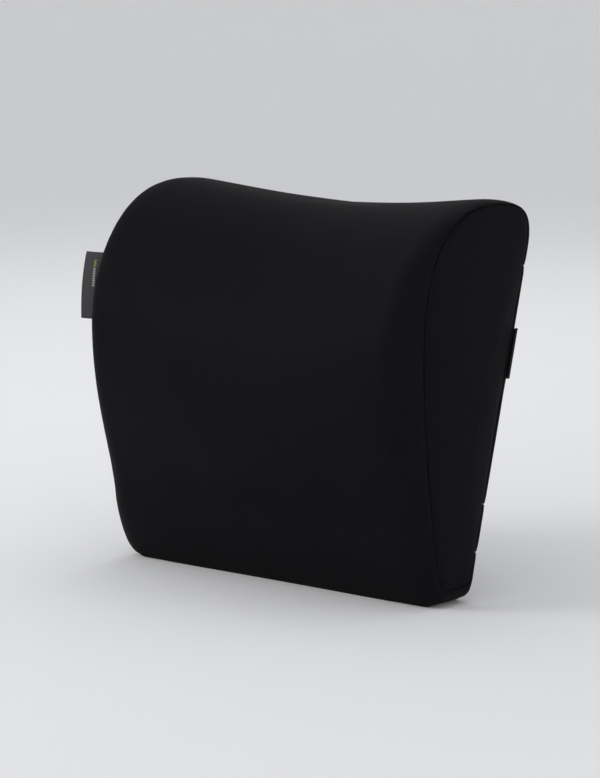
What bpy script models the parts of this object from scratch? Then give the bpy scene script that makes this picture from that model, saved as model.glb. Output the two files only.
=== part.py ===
"""Lumbar support cushion: a wedge of foam in a liner, inside a sewn cover with a zip and a back strap.

Metres, +Z up, from a point on the flat strip that the cushion stands on. The front, which meets the
sitter's back, looks along -Y. The strap and the zip are on the back, which leans along +Y.
"""

from math import cos, pi, radians, sin

import bmesh
import bpy
import numpy as np
from mathutils import Matrix, Vector
from mathutils.geometry import interpolate_bezier

# The cushion's overall size.
WIDTH = 0.330
HEIGHT = 0.300
BACK_LEAN = radians(14.9)             # the flat back, from the vertical
BACK_FOOT_Y = 0.027                  # where the plane of the back meets z = 0

# One end's outline, in Y and Z.
BASE_FRONT_Y, BASE_BACK_Y = -0.014, 0.022    # the flat strip that the cushion stands on
BACK_TOP_S = 0.265                   # where the flat back ends
RIDGE_Y = 0.042                      # where the level top starts to fall away to the front
CREST_Y, CREST_Z = -0.067, 0.194     # the foremost point
WAIST_Y, WAIST_Z = -0.0363, 0.0485   # the lower front
WAIST_SLOPE = radians(6)

# How the middle differs from the ends.
TOP_DIP = 0.0150                     # the saddle in the top
RIDGE_SHIFT = 0.008                  # how far back its ridge lies
CREST_DROP = 0.038                   # how much lower its crest is
DIP_POWER = 1.65                     # how soon the middle's shape gives way to the ends'

# The rounding between the front and an end, and the dome of the end.
END_CROWN = 0.004
ROUND_REACH = 0.021
ROUND_DEPTH = 0.012                  # on the back and at the waist
TOP_ROUND, BASE_ROUND = 0.0065, 0.0135
CREST_ROUND = 0.030

# Layers, as depths under the cover's outer surface, and the gaps between pieces.
FABRIC = 0.0020
LINER_OUT, LINER_IN = 0.0034, 0.0044
FOAM_OUT = 0.0050
SEAM_GAP = 0.0004
CLEAR = 0.0003

# Places on the back, measured up its slope from z = 0.
LOW_SEAM_S = 0.036
ZIP_S = 0.072
STRAP_S = 0.186
TOP_SEAM_S = 0.252

# The zip.
SLIT_HALF_WIDTH = 0.0055
SLIT_HALF_LENGTH = 0.122
TAPE_WIDTH, TAPE_THICK = 0.013, 0.0006
COIL_WIDTH, COIL_THICK = 0.0022, 0.0016
STOP_X = 0.1175
SLIDER_X = -0.106                    # the slider's place when the zip is closed
SLIDER_LENGTH, SLIDER_WIDTH = 0.011, 0.0086
PULL_H = 0.0027                      # height of the pull's hinge above the back

# The strap and its hardware.
STRAP_WIDTH, STRAP_THICK = 0.038, 0.0014
STRAP_H = 0.0012                     # height of the strap's middle above the back
TAIL_H = 0.0029                      # and of the layer that is folded back over it
BAR_RADIUS = 0.0016
BUCKLE_H = 0.0048                    # height of the buckle's middle above the back
SOCKET_BAR_X, SOCKET_X0, SOCKET_X1 = 0.0115, 0.0220, 0.0500
PLUG_X0, PLUG_X1, PLUG_BAR_X = 0.0504, 0.0580, 0.0665
ADJUSTER_X = -0.060
PRONG_PIVOT_X, PRONG_PIVOT_Y = 0.0477, 0.0145
PLUG_TAIL_X = 0.096                  # where the plug's strap end is sewn down

# The side label.
LABEL_LOW_Z, LABEL_HIGH_Z = 0.190, 0.242
LABEL_REACH, LABEL_SWEEP = 0.0210, 0.0036   # how far its free edge stands out, and how far forward
LABEL_THICK = 0.0010


def material(name, colour, roughness, metallic=0.0):
    """A plain finish: linear colour, roughness and metallic."""
    made = bpy.data.materials.new(name)
    made.use_nodes = True
    shader = made.node_tree.nodes["Principled BSDF"]
    shader.inputs["Base Color"].default_value = (*colour, 1.0)
    shader.inputs["Roughness"].default_value = roughness
    shader.inputs["Metallic"].default_value = metallic
    made.diffuse_color = (*colour, 1.0)
    return made


def place(name, mesh, finish, parent=None, location=(0, 0, 0)):
    """One piece of the assembly, in its parent empty's frame."""
    made = bpy.data.objects.new(name, mesh)
    mesh.materials.clear()
    mesh.materials.append(finish)
    parts.objects.link(made)
    made.parent = parent
    made.location = location
    return made


# The cushion's surface -------------------------------------------------------------------------------

def back_point(s):
    """The point s up the slope of the back, as (y, z)."""
    return Vector((BACK_FOOT_Y + s * sin(BACK_LEAN), s * cos(BACK_LEAN)))


# The outline's points on the back: a pair at each seam, and the slit's edges around the pair at the zip.
BACK_STOPS = [
    LOW_SEAM_S - SEAM_GAP / 2, LOW_SEAM_S + SEAM_GAP / 2,
    ZIP_S - SLIT_HALF_WIDTH, ZIP_S - SEAM_GAP / 2, ZIP_S + SEAM_GAP / 2, ZIP_S + SLIT_HALF_WIDTH,
    0.115, 0.150, STRAP_S, 0.222,
    TOP_SEAM_S - SEAM_GAP / 2, TOP_SEAM_S + SEAM_GAP / 2,
]
LOW_SEAM_ROW, BELOW_ZIP_ROW, ZIP_ROW, ABOVE_ZIP_ROW, TOP_SEAM_ROW = 0, 2, 3, 4, 10


def outline(middle, draw=0.0):
    """The closed outline (y, z) at one station.

    middle is 0 for the ends' shape and 1 for the middle's. draw is how far the rounding to the end has
    drawn the outline in, from 0 to 1 at the end seam. The outline starts on the back at the lower seam,
    climbs the back, and comes round over the top, the crest, the waist and the base.
    """
    up = Vector((sin(BACK_LEAN), cos(BACK_LEAN)))
    down = Vector((sin(WAIST_SLOPE), -cos(WAIST_SLOPE)))
    level, plumb = Vector((1, 0)), Vector((0, 1))
    depth = ROUND_DEPTH * draw
    off_back = Vector((-cos(BACK_LEAN), sin(BACK_LEAN))) * depth
    back_low = back_point(0.024 + 0.4 * depth) + off_back
    back_top = back_point(BACK_TOP_S - 0.2 * depth) + off_back
    ridge = Vector((RIDGE_Y + middle * RIDGE_SHIFT, HEIGHT - middle * TOP_DIP - TOP_ROUND * draw))
    crest = Vector((CREST_Y + CREST_ROUND * draw, CREST_Z - middle * CREST_DROP))
    waist = Vector((WAIST_Y + depth, WAIST_Z + 0.3 * depth))
    base_front = Vector((BASE_FRONT_Y + 0.35 * depth, BASE_ROUND * draw))
    base_back = Vector((BASE_BACK_Y - 0.75 * depth, BASE_ROUND * draw))
    over_top = interpolate_bezier(back_top, back_top + 0.0315 * up, ridge + 0.0415 * level, ridge, 7)
    to_crest = interpolate_bezier(ridge, ridge - 0.053 * level, crest + 0.0615 * plumb, crest, 8)
    to_waist = interpolate_bezier(crest, crest - 0.066 * plumb, waist - 0.0325 * down, waist, 6)
    to_base = interpolate_bezier(waist, waist + 0.0135 * down, base_front - 0.0062 * level, base_front, 5)
    to_back = interpolate_bezier(base_back, base_back + 0.007 * level, back_low - 0.007 * up, back_low, 4)
    front = over_top[:-1] + to_crest[:-1] + to_waist[:-1] + to_base + to_back
    return np.array([tuple(back_point(s) + off_back) for s in BACK_STOPS] + [tuple(p)[:2] for p in front])


ROUND_TURNS = [radians(a) for a in (90, 66, 42, 20, 0)]
STATIONS = [SLIT_HALF_LENGTH, 0.082, 0.041]
END_SCALES = [0.30, 0.66]
SEAM_RING = len(END_SCALES)          # the interval between rings that each end seam takes
EDGE_X = WIDTH / 2 - END_CROWN


def half_rings():
    """The rings of the left half, from the end's middle to the cushion's middle."""
    edge = outline(0, 1)
    middle = (edge.min(axis=0) + edge.max(axis=0)) / 2
    for scale in END_SCALES:
        yield -EDGE_X - END_CROWN * (1 - scale ** 2), middle + (edge - middle) * scale
    yield -EDGE_X, outline(0, 1 + SEAM_GAP / ROUND_DEPTH)
    for turn in ROUND_TURNS:
        x = EDGE_X - ROUND_REACH * (1 - sin(turn))
        yield -x, outline(max(0, 1 - (x / EDGE_X) ** DIP_POWER), 1 - cos(turn))
    for x in STATIONS:
        yield -x, outline(1 - (x / EDGE_X) ** DIP_POWER)


def skin():
    """The cover's whole outer surface: points, outward normals, and triangles keyed by (ring, outline row).

    Each quad is split here, the same way in every layer, so that the layers stay parallel where it twists.
    """
    left = list(half_rings())
    rings = left + [(0.0, outline(1))] + [(-x, points) for x, points in reversed(left)]
    rows = len(rings[0][1])
    places = [(x, y, z) for x, points in rings for y, z in points]
    places += [(side * WIDTH / 2, *rings[0][1].mean(axis=0)) for side in (-1, 1)]
    faces = {}
    for j in range(len(rings) - 1):
        for i in range(rows):
            k = (i + 1) % rows
            a, b, c, d = j * rows + i, j * rows + k, (j + 1) * rows + k, (j + 1) * rows + i
            faces[j, i] = [(a, b, c), (a, c, d)] if j < len(left) else [(a, b, d), (b, c, d)]
    last = (len(rings) - 1) * rows
    for i in range(rows):
        k = (i + 1) % rows
        faces[-1, i] = [(len(places) - 2, k, i)]
        faces[len(rings) - 1, i] = [(len(places) - 1, last + i, last + k)]
    mesh = bpy.data.meshes.new("skin")
    mesh.from_pydata(places, [], [face for pair in faces.values() for face in pair])
    form = bmesh.new()
    form.from_mesh(mesh)
    if form.calc_volume(signed=True) < 0:
        bmesh.ops.reverse_faces(form, faces=form.faces)
        faces = {key: [face[::-1] for face in pair] for key, pair in faces.items()}
    form.normal_update()
    form.verts.ensure_lookup_table()
    normals = [vert.normal.copy() for vert in form.verts]
    form.free()
    bpy.data.meshes.remove(mesh)
    ring_pairs = [(SEAM_RING, SEAM_RING + 1), (len(rings) - 1 - SEAM_RING, len(rings) - 2 - SEAM_RING)]
    seams = [(a * rows + i, b * rows + i) for a, b in ring_pairs for i in range(rows)]
    seams += [(j * rows + i, j * rows + i + 1) for i in (LOW_SEAM_ROW, ZIP_ROW, TOP_SEAM_ROW)
              for j in range(len(rings))]
    for a, b in seams:
        normals[a] = normals[b] = (normals[a] + normals[b]).normalized()
    return [Vector(p) for p in places], normals, faces, len(rings)


def layer(name, faces, outer, inner=None):
    """The given faces of the skin as a wall between two depths, or as a solid where they close.

    Neighbouring panels are offset along the whole skin's normals, so that their edges stay parallel.
    """
    used = sorted({v for face in faces for v in face})
    number = {v: n for n, v in enumerate(used)}
    places = [points[v] - normals[v] * outer for v in used]
    solid = [[number[v] for v in face] for face in faces]
    if inner is not None:
        count = len(used)
        places += [points[v] - normals[v] * inner for v in used]
        edges = {(face[n - 1], face[n]) for face in solid for n in range(len(face))}
        walls = [[b, a, a + count, b + count] for a, b in edges if (b, a) not in edges]
        solid += [[v + count for v in reversed(face)] for face in solid] + walls
    mesh = bpy.data.meshes.new(name)
    mesh.from_pydata(places, [], solid)
    mesh.shade_smooth()
    mesh.set_sharp_from_angle(angle=radians(50))
    return mesh


# Simple solids ---------------------------------------------------------------------------------------

def box(low, high, bevel=0.0):
    """A box between two corners, with its edges rounded."""
    form = bmesh.new()
    bmesh.ops.create_cube(form, size=1)
    low, high = Vector(low), Vector(high)
    for vert in form.verts:
        vert.co = Vector((low[n] + (high[n] - low[n]) * (vert.co[n] + 0.5) for n in range(3)))
    if bevel:
        bmesh.ops.bevel(form, geom=form.edges[:], offset=bevel, segments=2, affect="EDGES", profile=0.5)
    mesh = bpy.data.meshes.new("box")
    form.to_mesh(mesh)
    form.free()
    return mesh


def cross_bar(x, height, half_length, radius):
    """A round bar along Y."""
    form = bmesh.new()
    turn = Matrix.Translation((x, 0, height)) @ Matrix.Rotation(pi / 2, 4, "X")
    bmesh.ops.create_cone(form, cap_ends=True, segments=16, radius1=radius, radius2=radius,
                          depth=2 * half_length, matrix=turn)
    mesh = bpy.data.meshes.new("cross_bar")
    form.to_mesh(mesh)
    form.free()
    return mesh


def combine(target, meshes, operation):
    """Join solids to a piece, or cut them from it, with one exact Boolean each."""
    for mesh in meshes:
        tool = bpy.data.objects.new(target.name + "_tool", mesh)
        cutters.objects.link(tool)
        tool.parent, tool.location = target.parent, target.location
        tool.hide_render = True
        tool.display_type = "WIRE"
        cut = target.modifiers.new(operation.lower(), "BOOLEAN")
        cut.operation, cut.solver, cut.object = operation, "EXACT", tool


def webbing(name, route, finish, across=0.0):
    """A flat strap of one thickness along a route of (x, height) points, square across the strap."""
    half = STRAP_WIDTH / 2
    form = bmesh.new()
    pairs = [[form.verts.new((x, across + side * half, h)) for side in (-1, 1)] for x, h in route]
    for (a, b), (c, d) in zip(pairs, pairs[1:]):
        form.faces.new((a, b, d, c))
    mesh = bpy.data.meshes.new(name)
    form.to_mesh(mesh)
    form.free()
    made = place(name, mesh, finish, back, (0, -STRAP_S, 0))
    wall = made.modifiers.new("thickness", "SOLIDIFY")
    wall.thickness, wall.offset, wall.use_even_offset = STRAP_THICK, 0, True
    return made


def strap_end(side):
    """The strap's route from the flat of the back round the edge to the end seam, towards one side."""
    route = []
    for turn in (0, 22, 42, 60, 76):
        turn = radians(turn)
        run = Vector((ROUND_DEPTH * sin(turn), ROUND_REACH * cos(turn))).normalized() * STRAP_H
        x = EDGE_X - ROUND_REACH * (1 - sin(turn)) + run.x
        route.append((side * x, run.y - ROUND_DEPTH * (1 - cos(turn))))
    return route


def loop_round(bar_x, side):
    """The strap's turn round a bar, from its underside to its top, on the bar's given side."""
    radius = BAR_RADIUS + CLEAR + STRAP_THICK / 2
    turns = [radians(a) for a in (-90, -60, -30, 0, 30, 60, 90)]
    return [(bar_x + side * radius * cos(t), BUCKLE_H + radius * sin(t)) for t in turns]


# The cover, the liner and the foam -------------------------------------------------------------------

def make_cushion():
    slit = range(ring_count // 2 - 3, ring_count // 2 + 3)
    body = range(SEAM_RING + 1, ring_count - 2 - SEAM_RING)

    def pick(test):
        return [face for (j, i), pair in faces.items() if test(j, i) for face in pair]

    fabric = material("cover_fabric", (0.010, 0.010, 0.012), 0.9)
    place("front_panel", layer("front_panel", pick(
        lambda j, i: j in body and i > TOP_SEAM_ROW), 0, FABRIC), fabric)
    place("back_panel_upper", layer("back_panel_upper", pick(
        lambda j, i: j in body and (ABOVE_ZIP_ROW < i < TOP_SEAM_ROW
                                    or i == ABOVE_ZIP_ROW and j not in slit)), 0, FABRIC), fabric)
    place("back_panel_lower", layer("back_panel_lower", pick(
        lambda j, i: j in body and (LOW_SEAM_ROW < i < BELOW_ZIP_ROW
                                    or i == BELOW_ZIP_ROW and j not in slit)), 0, FABRIC), fabric)
    place("left_end_panel", layer("left_end_panel", pick(
        lambda j, i: j < SEAM_RING), 0, FABRIC), fabric)
    place("right_end_panel", layer("right_end_panel", pick(
        lambda j, i: j > ring_count - 2 - SEAM_RING), 0, FABRIC), fabric)
    knit = material("liner_knit", (0.75, 0.74, 0.72), 0.9)
    place("inner_liner", layer("inner_liner", pick(
        lambda j, i: not (i == ABOVE_ZIP_ROW and j in slit)), LINER_OUT, LINER_IN), knit)
    foam = material("foam", (0.80, 0.72, 0.50), 0.95)
    place("foam_core", layer("foam_core", pick(lambda j, i: True), FOAM_OUT), foam)


def make_labels():
    woven = material("label_weave", (0.030, 0.032, 0.036), 0.7)
    edge = outline(0, 1)
    front = edge[edge[:, 0] < 0]
    front = front[np.argsort(front[:, 1])]
    form = bmesh.new()
    pairs = []
    for z in np.linspace(LABEL_LOW_Z, LABEL_HIGH_Z, 6):
        y = np.interp(z, front[:, 1], front[:, 0])
        pairs.append([form.verts.new((-EDGE_X - CLEAR, y, z)),
                      form.verts.new((-EDGE_X - LABEL_REACH, y - LABEL_SWEEP, z))])
    for (a, b), (c, d) in zip(pairs, pairs[1:]):
        form.faces.new((a, b, d, c))
    mesh = bpy.data.meshes.new("side_label")
    form.to_mesh(mesh)
    form.free()
    label = place("side_label", mesh, woven)
    wall = label.modifiers.new("thickness", "SOLIDIFY")
    wall.thickness, wall.offset = LABEL_THICK, 0
    white = material("care_label_satin", (0.80, 0.80, 0.78), 0.6)
    place("care_label", box((0.084, -0.126, CLEAR), (0.114, -0.086, CLEAR + 0.0004)), white, back)


# The zip ---------------------------------------------------------------------------------------------

def make_zip():
    tape = material("zip_tape", (0.012, 0.012, 0.014), 0.85)
    coil = material("zip_coil", (0.020, 0.020, 0.022), 0.45)
    metal = material("zip_metal", (0.045, 0.045, 0.050), 0.35, 1.0)
    tape_top = -FABRIC - CLEAR
    coil_low = tape_top + CLEAR
    for name, side in (("upper", -1), ("lower", 1)):
        near, far = side * 0.0010, side * (0.0010 + TAPE_WIDTH)
        place("zip_tape_" + name, box(
            (-SLIT_HALF_LENGTH - 0.006, min(near, far), tape_top - TAPE_THICK),
            (SLIT_HALF_LENGTH + 0.006, max(near, far), tape_top)), tape, back, (0, -ZIP_S, 0))
        near, far = side * CLEAR / 2, side * (CLEAR / 2 + COIL_WIDTH)
        place("zip_coil_" + name, box(
            (-STOP_X + CLEAR, min(near, far), coil_low), (STOP_X - CLEAR, max(near, far), coil_low + COIL_THICK),
            0.0003), coil, back, (0, -ZIP_S, 0))
    for name, side in (("left", -1), ("right", 1)):
        x = side * (STOP_X + 0.0015)
        place("zip_stop_" + name, box((x - 0.0015, -0.0027, coil_low), (x + 0.0015, 0.0027, coil_low + 0.0020),
                                      0.0004), metal, back, (0, -ZIP_S, 0))
    half_x, half_y = SLIDER_LENGTH / 2, SLIDER_WIDTH / 2
    plate_low, plate_high = 0.0000, 0.0011
    slider = place("zip_slider", box((-half_x, -half_y, plate_low), (half_x, half_y, plate_high), 0.0003),
                   metal, back, (SLIDER_X, -ZIP_S, 0))
    flanges = [box((-half_x + 0.0006, side * 0.0036 - 0.0006, -0.0017),
                   (half_x - 0.0006, side * 0.0036 + 0.0006, plate_low + 0.0006)) for side in (-1, 1)]
    posts = [box((side * 0.0028 - 0.0009, -0.0010, plate_high - 0.0004),
                 (side * 0.0028 + 0.0009, 0.0010, PULL_H + 0.0010)) for side in (-1, 1)]
    beam = box((-0.0037, -0.0010, PULL_H + 0.0009), (0.0037, 0.0010, PULL_H + 0.0017))
    combine(slider, flanges + posts + [beam], "UNION")
    tab = place("zip_pull", box((0.0, -0.0040, -0.0005), (0.0305, 0.0040, 0.0005)),
                metal, back, (SLIDER_X, -ZIP_S, PULL_H))
    combine(tab, [cross_bar(0.0, 0.0, 0.0040, 0.0005)], "UNION")
    combine(tab, [box((0.0006, -0.0016, -0.0010), (0.0058, 0.0016, 0.0010)),
                  box((0.0190, -0.0020, -0.0010), (0.0285, 0.0020, 0.0010))], "DIFFERENCE")


# The strap -------------------------------------------------------------------------------------------

def make_straps():
    elastic = material("strap_webbing", (0.012, 0.012, 0.013), 0.8)
    crossing = [(-0.0140, STRAP_H), (-0.0080, STRAP_H), (-0.0022, 0.0044), (0.0022, 0.0044),
                (0.0080, STRAP_H), (0.0140, STRAP_H)]
    left = strap_end(-1)[::-1] + [(ADJUSTER_X + x, h) for x, h in crossing]
    left += [(-0.012, STRAP_H), (0.002, 0.0019)] + loop_round(SOCKET_BAR_X, 1)
    left += [(0.004, 0.0066), (-0.008, 0.0038), (-0.018, TAIL_H), (ADJUSTER_X + 0.0125, TAIL_H)]
    webbing("strap_left", left, elastic)
    right = strap_end(1)[::-1] + [(0.090, STRAP_H), (0.076, 0.0019)] + loop_round(PLUG_BAR_X, -1)
    right += [(0.074, 0.0066), (0.083, 0.0038), (0.090, TAIL_H), (PLUG_TAIL_X + 0.006, TAIL_H)]
    webbing("strap_right", right, elastic)


def make_hardware():
    acetal = material("buckle_acetal", (0.014, 0.014, 0.015), 0.4)
    at_strap = (0, -STRAP_S, 0)
    low, high = BUCKLE_H - 0.0042, BUCKLE_H + 0.0042
    arm_low, arm_high = BUCKLE_H - 0.0019, BUCKLE_H + 0.0019

    def bar_frame(bar_x, block_x):
        inner, outer = sorted((bar_x, block_x))
        arms = [box((inner, min(side * 0.0198, side * 0.0225), arm_low),
                    (outer, max(side * 0.0198, side * 0.0225), arm_high)) for side in (-1, 1)]
        return arms + [cross_bar(bar_x, BUCKLE_H, 0.0222, BAR_RADIUS)]

    adjuster = place("strap_adjuster", box((-0.0115, -0.0235, 0.0022), (0.0115, 0.0235, 0.0036), 0.0005),
                     acetal, back, (ADJUSTER_X, -STRAP_S, 0))
    combine(adjuster, [box((min(side * 0.0015, side * 0.0085), -0.0200, 0.0010),
                           (max(side * 0.0015, side * 0.0085), 0.0200, 0.0050)) for side in (-1, 1)],
            "DIFFERENCE")
    socket = place("buckle_socket", box((SOCKET_X0, -0.0215, low), (SOCKET_X1, 0.0215, high), 0.0018),
                   acetal, back, at_strap)
    hollow = box((0.0242, -0.0195, BUCKLE_H - 0.0026), (0.0510, 0.0195, BUCKLE_H + 0.0026))
    windows = [box((0.0255, min(side * 0.0180, side * 0.0240), BUCKLE_H - 0.0028),
                   (0.0430, max(side * 0.0180, side * 0.0240), BUCKLE_H + 0.0028)) for side in (-1, 1)]
    combine(socket, bar_frame(SOCKET_BAR_X, SOCKET_X0 + 0.0020), "UNION")
    combine(socket, [hollow] + windows, "DIFFERENCE")
    plug = place("buckle_plug", box((PLUG_X0, -0.0215, low), (PLUG_X1, 0.0215, high), 0.0016),
                 acetal, back, at_strap)
    tongue = box((0.0285, -0.0030, BUCKLE_H - 0.0018), (PLUG_X0 + 0.0010, 0.0030, BUCKLE_H + 0.0018))
    combine(plug, bar_frame(PLUG_BAR_X, PLUG_X1 - 0.0020) + [tongue], "UNION")
    for name, side in (("upper", -1), ("lower", 1)):
        make_prong("buckle_prong_" + name, side, acetal)


def make_prong(name, side, finish):
    """One of the plug's spring arms: a round root on its hinge line, a bowed arm, and a barb near its tip."""
    root = 0.0022
    outer = [(0.000, root), (-0.0080, 0.0028), (-0.0152, 0.0036), (-0.0157, 0.0060), (-0.0200, 0.0052),
             (-0.0215, 0.0022)]
    inner = [(-0.0205, 0.0008), (-0.0140, -0.0002), (-0.0070, -0.0018)]
    turns = [-pi / 2 + n * pi / 12 for n in range(12)]
    outline_points = outer + inner + [(root * cos(t), root * sin(t)) for t in turns]
    curve = bpy.data.curves.new(name, "CURVE")
    curve.dimensions, curve.fill_mode, curve.extrude = "2D", "BOTH", 0.0020
    spline = curve.splines.new("POLY")
    spline.points.add(len(outline_points) - 1)
    for point, (x, y) in zip(spline.points, outline_points):
        point.co = (x, side * y, 0, 1)
    spline.use_cyclic_u = True
    place(name, curve, finish, back, (PRONG_PIVOT_X, -STRAP_S + side * PRONG_PIVOT_Y, BUCKLE_H))


for old in list(bpy.data.objects):
    bpy.data.objects.remove(old)
parts = bpy.data.collections.new("lumbar_cushion")
cutters = bpy.data.collections.new("cutters")
bpy.context.scene.collection.children.link(parts)
bpy.context.scene.collection.children.link(cutters)

# The back's own frame: X as the cushion's, Y down its slope, Z out of it, from its foot at z = 0.
back = bpy.data.objects.new("back_plane", None)
parts.objects.link(back)
back.location = (0, BACK_FOOT_Y, 0)
back.rotation_euler = (-pi / 2 - BACK_LEAN, 0, 0)

points, normals, faces, ring_count = skin()
make_cushion()
make_labels()
make_zip()
make_straps()
make_hardware()
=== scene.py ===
"""A lumbar support cushion: the finished look of every piece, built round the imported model.

Metres, in the model's own frame: +X across the width, -Y to the sitter, +Z up. The sections follow the
order of the making: foam, liner, sewn cover, labels, zip, strap, buckle, and then the studio.
"""

from math import cos, pi, radians, sin

import bmesh
import bpy
import numpy as np
from mathutils import Matrix, Vector
from mathutils.geometry import interpolate_bezier


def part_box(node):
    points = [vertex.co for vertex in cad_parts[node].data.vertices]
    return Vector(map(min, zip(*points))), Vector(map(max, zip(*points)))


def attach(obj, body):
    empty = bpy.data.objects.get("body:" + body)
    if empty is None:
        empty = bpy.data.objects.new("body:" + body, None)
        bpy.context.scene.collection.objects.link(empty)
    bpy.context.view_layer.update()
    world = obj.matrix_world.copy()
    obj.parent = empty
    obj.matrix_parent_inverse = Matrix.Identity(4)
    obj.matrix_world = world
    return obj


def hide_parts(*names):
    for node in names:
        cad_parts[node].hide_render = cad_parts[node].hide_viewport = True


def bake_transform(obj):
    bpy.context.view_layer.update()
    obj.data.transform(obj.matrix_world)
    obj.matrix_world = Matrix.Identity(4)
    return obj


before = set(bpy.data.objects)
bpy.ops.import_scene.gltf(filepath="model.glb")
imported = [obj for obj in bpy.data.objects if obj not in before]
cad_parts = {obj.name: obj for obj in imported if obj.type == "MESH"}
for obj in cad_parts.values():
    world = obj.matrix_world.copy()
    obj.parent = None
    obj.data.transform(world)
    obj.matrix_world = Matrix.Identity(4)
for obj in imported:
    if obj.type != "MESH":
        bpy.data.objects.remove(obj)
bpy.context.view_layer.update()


# The wedge of foam ------------------------------------------------------------------------------------
# One block of slow-recovery polyurethane foam, moulded to shape: flat base and back, a saddle in the
# top, and a front that swells at the two ends and is scooped between them. It fills the whole cover.

HEIGHT = 0.300
BACK_LEAN = radians(14.9)
BACK_FOOT_Y = 0.027                       # where the plane of the back meets the floor
LOW_SEAM_S, ZIP_S, TOP_SEAM_S, BACK_TOP_S = 0.036, 0.072, 0.252, 0.265   # distances up the back
EDGE_X, END_CROWN = 0.161, 0.004          # the end seam, and the dome of the end beyond it
ROUND_REACH, ROUND_DEPTH = 0.021, 0.012   # the rounding that leads to the end seam
TOP_ROUND, BASE_ROUND, CREST_ROUND = 0.0065, 0.0135, 0.030
DIP_POWER = 1.65                          # how squarely the middle's dip ends
BACK_STOPS = np.concatenate([np.linspace(LOW_SEAM_S, ZIP_S, 8), np.linspace(ZIP_S, TOP_SEAM_S, 37)[1:]])
FOAM_UNDER = 0.0062                       # the foam's skin below the cover's face


def back_point(s, height=0.0):
    """The point s up the slope of the back and height off it, as (y, z)."""
    along, off = Vector((sin(BACK_LEAN), cos(BACK_LEAN))), Vector((cos(BACK_LEAN), -sin(BACK_LEAN)))
    return Vector((BACK_FOOT_Y, 0)) + s * along + height * off


def outline(middle, draw=0.0):
    """The closed outline (y, z) at one station, from the back's lower seam up and over to the front.

    middle is 0 for the ends' shape and 1 for the middle's; draw is how far the rounding to the end has
    drawn it in, from 0 to 1 at the end seam.
    """
    up = Vector((sin(BACK_LEAN), cos(BACK_LEAN)))
    down = Vector((sin(radians(6)), -cos(radians(6))))
    level, plumb = Vector((1, 0)), Vector((0, 1))
    depth = ROUND_DEPTH * draw
    back_low = back_point(0.024 + 0.4 * depth, -depth)
    back_top = back_point(BACK_TOP_S - 0.2 * depth, -depth)
    ridge = Vector((0.042 + middle * 0.008, HEIGHT - middle * 0.015 - TOP_ROUND * draw))
    crest = Vector((-0.067 + CREST_ROUND * draw, 0.194 - middle * 0.038))
    waist = Vector((-0.0363 + depth, 0.0485 + 0.3 * depth))
    base_front = Vector((-0.014 + 0.35 * depth, BASE_ROUND * draw))
    base_back = Vector((0.022 - 0.75 * depth, BASE_ROUND * draw))
    pieces = [
        interpolate_bezier(back_top, back_top + 0.0315 * up, ridge + 0.0415 * level, ridge, 17),
        interpolate_bezier(ridge, ridge - 0.053 * level, crest + 0.0615 * plumb, crest, 28),
        interpolate_bezier(crest, crest - 0.066 * plumb, waist - 0.0325 * down, waist, 28),
        interpolate_bezier(waist, waist + 0.0135 * down, base_front - 0.0062 * level, base_front, 12),
        interpolate_bezier(base_front, base_front.lerp(base_back, 1 / 3),
                           base_front.lerp(base_back, 2 / 3), base_back, 6),
        interpolate_bezier(base_back, base_back + 0.007 * level, back_low - 0.007 * up, back_low, 8),
    ]
    rest = [p for piece in pieces for p in piece[:-1]] + [back_low]
    line = [back_point(s, -depth) for s in BACK_STOPS.tolist()] + [back_point(0.258, -depth)] + rest
    return np.array([tuple(p)[:2] for p in line])


def body_rings():
    """The outlines from the left end seam to the right one, as one grid of points."""
    turns = np.radians([90, 80, 69, 58, 46, 34, 22, 11, 0])
    half = [(-(EDGE_X - ROUND_REACH * (1 - sin(t))), 1 - cos(t)) for t in turns]
    half += [(-x, 0.0) for x in np.linspace(0.135, 0.0, 28)]
    stations = half + [(-x, draw) for x, draw in half[-2::-1]]
    rings = []
    for x, draw in stations:
        middle = max(0.0, 1 - (abs(x) / EDGE_X) ** DIP_POWER)
        rings.append([(x, y, z) for y, z in outline(middle, draw)])
    return np.array(rings)


def end_rings(seam, side):
    """Rings from an end seam in towards the end's centre, over its slight dome."""
    centre = (seam.min(axis=0) + seam.max(axis=0)) / 2
    rings = []
    for scale in (0.955, 0.90, 0.83, 0.74, 0.64, 0.53, 0.42, 0.31, 0.20, 0.10):
        ring = centre + (seam - centre) * scale
        ring[:, 0] = side * (EDGE_X + END_CROWN * (1 - scale ** 2))
        rings.append(ring)
    return np.array(rings)


def grid_faces(lines, rows, around):
    """The quads of a grid of points, joined up round the rows where it is closed."""
    return [(j * rows + i, j * rows + (i + 1) % rows, (j + 1) * rows + (i + 1) % rows, (j + 1) * rows + i)
            for j in range(lines - 1) for i in range(rows if around else rows - 1)]


def closed_skin(rings):
    """A closed mesh through a stack of rings, with a fan at either end and its faces outwards."""
    count, rows = rings.shape[:2]
    tips = [rings[0].mean(axis=0).tolist(), rings[-1].mean(axis=0).tolist()]
    places = rings.reshape(-1, 3).tolist() + tips
    faces = grid_faces(count, rows, True)
    last = (count - 1) * rows
    faces += [(len(places) - 2, (i + 1) % rows, i) for i in range(rows)]
    faces += [(len(places) - 1, last + i, last + (i + 1) % rows) for i in range(rows)]
    mesh = bpy.data.meshes.new("skin")
    mesh.from_pydata(places, [], faces)
    form = bmesh.new()
    form.from_mesh(mesh)
    if form.calc_volume(signed=True) < 0:
        bmesh.ops.reverse_faces(form, faces=form.faces)
    form.to_mesh(mesh)
    form.free()
    mesh.shade_smooth()
    return mesh


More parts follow.
